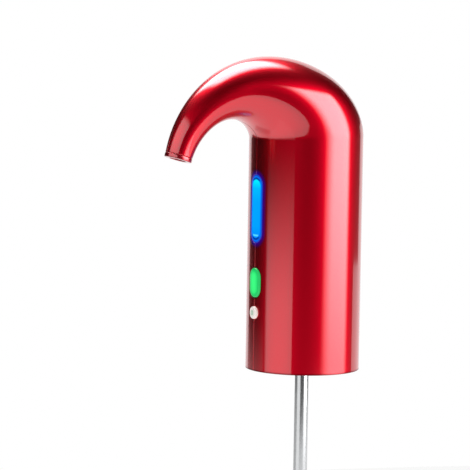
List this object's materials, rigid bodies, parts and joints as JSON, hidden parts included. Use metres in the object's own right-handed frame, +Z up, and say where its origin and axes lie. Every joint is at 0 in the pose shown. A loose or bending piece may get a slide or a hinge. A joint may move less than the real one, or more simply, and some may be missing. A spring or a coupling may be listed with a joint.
{
  "type": "electric wine aerator",
  "caption": "Round-bodied electric wine aerator with a gooseneck spout, light window, push button, neck plug, air pump and telescopic intake tube.",
  "frame": {"origin": "on the body's axis at the seat where the lip of the bottle stops, at the top of the plug's first rib", "axes": "+Z up along the plug and the body, +X forward to the spout, so Y crosses the parting line"},
  "size_m": [0.123, 0.065, 0.2971],
  "materials": {
    "red_lacquer": "metallic red lacquer under clear gloss",
    "nozzle_red": "moulded red, gloss",
    "dark_plastic": "fine moulded grain",
    "window_blue": "clear window lit blue from behind",
    "guide_clear": "frosted light guide",
    "button_green": "translucent, lit green",
    "status_white": "milky diffuser",
    "led_chip": "moulded LED package",
    "board_green": "solder mask",
    "black_plastic": "satin moulding",
    "pale_plastic": "natural moulding",
    "silicone": "translucent food-grade silicone",
    "black_rubber": "matt rubber",
    "red_rubber": "matt insulation",
    "black_lead": "matt insulation",
    "steel_tube": "drawn and polished",
    "steel": "bright zinc",
    "magnet": "sintered ferrite",
    "copper": "varnished copper windings",
    "brass": "turned",
    "cell_wrap": "shrink-wrapped metal can",
    "nickel": "bright strip"
  },
  "bodies": {
    "body": {"left_shell": "red_lacquer", "right_shell": "red_lacquer", "spout_nozzle": "nozzle_red", "base_cover": "dark_plastic", "plug_core": "dark_plastic", "tube_collar": "dark_plastic", "window_lens": "window_blue", "light_guide": "guide_clear", "status_lens": "status_white", "window_leds": "led_chip", "status_led": "led_chip", "main_board": "board_green", "charge_board": "board_green", "tact_switch": "black_plastic", "control_chips": "black_plastic", "chassis": "black_plastic", "motor_end_cap": "black_plastic", "pump_cover": "pale_plastic", "valve_plate": "pale_plastic", "pump_body": "pale_plastic", "wobble_frame": "pale_plastic", "plug_sleeve": "silicone", "lip_gasket": "silicone", "pour_hose": "silicone", "air_hose": "silicone", "pump_pad": "black_rubber", "diaphragm": "black_rubber", "tube_seal": "black_rubber", "check_valve": "red_rubber", "battery_leads": "red_rubber", "charge_leads": "red_rubber", "motor_leads": "black_lead", "upper_tube": "steel_tube", "base_screws": "steel", "board_screws": "steel", "chassis_screws": "steel", "pump_screws": "steel", "core_screws": "steel", "hose_clips": "steel", "motor_can": "steel", "charge_port": "steel", "motor_magnets": "magnet", "motor_terminals": "brass", "battery_cell": "cell_wrap", "battery_tabs": "nickel"},
    "button": {"button_cap": "button_green", "switch_plunger": "pale_plastic"},
    "rotor": {"motor_shaft": "steel", "motor_armature": "copper", "eccentric": "brass", "crank_pin": "steel"},
    "intake": {"lower_tube": "steel_tube", "slide_ring": "pale_plastic", "intake_foot": "dark_plastic"}
  },
  "joints": [
    {"name": "button_press", "type": "slide", "parent": "body", "child": "button", "axis": [-1, 0, 0], "range_m": [0, 0.0009], "stiffness_N_per_m": 600},
    {"name": "tube_extend", "type": "slide", "parent": "body", "child": "intake", "axis": [0, 0, -1], "range_m": [0, 0.1]},
    {"name": "pump_spin", "type": "hinge", "parent": "body", "child": "rotor", "pos_m": [-0.0079, -0.0155, 0.04], "axis": [0, 0, 1], "continuous": true}
  ]
}
